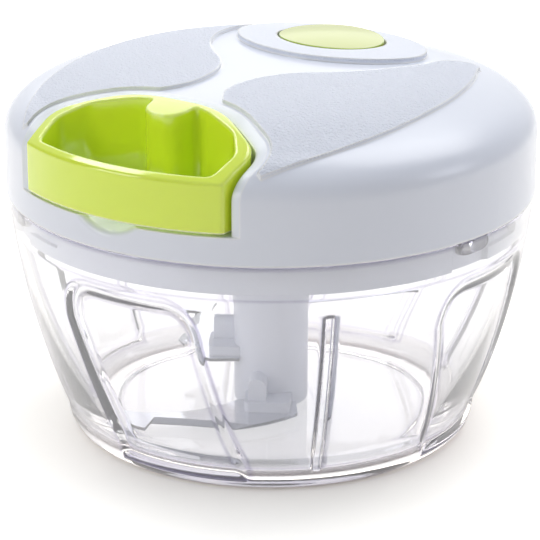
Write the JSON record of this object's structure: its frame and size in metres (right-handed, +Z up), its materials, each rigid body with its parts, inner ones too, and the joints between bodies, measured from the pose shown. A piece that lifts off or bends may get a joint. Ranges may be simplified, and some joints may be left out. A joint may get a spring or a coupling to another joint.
{
  "type": "pull-string food chopper",
  "caption": "Hand-pulled food chopper: clear tapering bowl, white domed lid with a cord reel and lime loop handle, and staggered blades on a central stem.",
  "frame": {"origin": "on the chopper's axis, on the surface that its foot stands on", "axes": "+Z up along the axis of bowl, lid and blades; the handle is pulled out towards -Y"},
  "size_m": [0.125, 0.1253, 0.09],
  "materials": {
    "clear_bowl": "clear polished plastic",
    "steel_pin": "drawn",
    "silicone_seal": "satin",
    "white_plastic": "fine grain and gloss",
    "screw_steel": "zinc plated",
    "lime_cap": "gloss",
    "spring_steel": "blued",
    "reel_plastic": "satin",
    "cord_nylon": "braided",
    "lime_plastic": "gloss",
    "blade_steel": "ground stainless steel"
  },
  "bodies": {
    "bowl": {"bowl": "clear_bowl", "centre_pin": "steel_pin"},
    "seal": {"seal_ring": "silicone_seal"},
    "lid": {"lid_shell": "white_plastic", "lid_base": "white_plastic", "lid_screws": "screw_steel", "centre_cap": "lime_cap", "cord_eyelet": "screw_steel", "reel_post": "steel_pin", "post_screw": "screw_steel", "post_washer": "screw_steel", "recoil_spring": "spring_steel"},
    "reel": {"cord_reel": "reel_plastic", "spring_cover": "screw_steel", "drive_hub": "white_plastic", "cord_winding": "cord_nylon"},
    "handle": {"pull_handle": "lime_plastic", "cord_anchor": "screw_steel", "cord_lead": "cord_nylon"},
    "blades": {"blade_stem": "white_plastic", "blade_low": "blade_steel", "blade_mid": "blade_steel", "blade_high": "blade_steel", "blade_clip_low": "white_plastic", "blade_clip_mid": "white_plastic", "blade_clip_high": "white_plastic"}
  },
  "joints": [
    {"name": "lid_lift", "type": "slide", "parent": "bowl", "child": "seal", "axis": [0, 0, 1], "range_m": [0, 0.2]},
    {"name": "lid_turn", "type": "hinge", "parent": "seal", "child": "lid", "pos_m": [0, 0, 0.06], "axis": [0, 0, 1], "range_deg": [-13, 0]},
    {"name": "handle_pull", "type": "slide", "parent": "lid", "child": "handle", "axis": [0, -1, 0], "range_m": [0, 0.4], "stiffness_N_per_m": 25, "springref_m": -0.2, "deforming": ["cord_lead"]},
    {"name": "reel_spin", "type": "hinge", "parent": "lid", "child": "reel", "pos_m": [0, 0, 0.07], "axis": [0, 0, 1], "range_deg": [0, 1146], "deforming": ["recoil_spring"]},
    {"name": "blade_drop", "type": "slide", "parent": "reel", "child": "blades", "axis": [0, 0, 1], "range_m": [-0.2, 0]}
  ],
  "couplings": [
    {"joint": "reel_spin", "follows": "handle_pull", "rad_per_m": 50},
    {"joint": "blade_drop", "follows": "lid_lift", "ratio": -1}
  ]
}
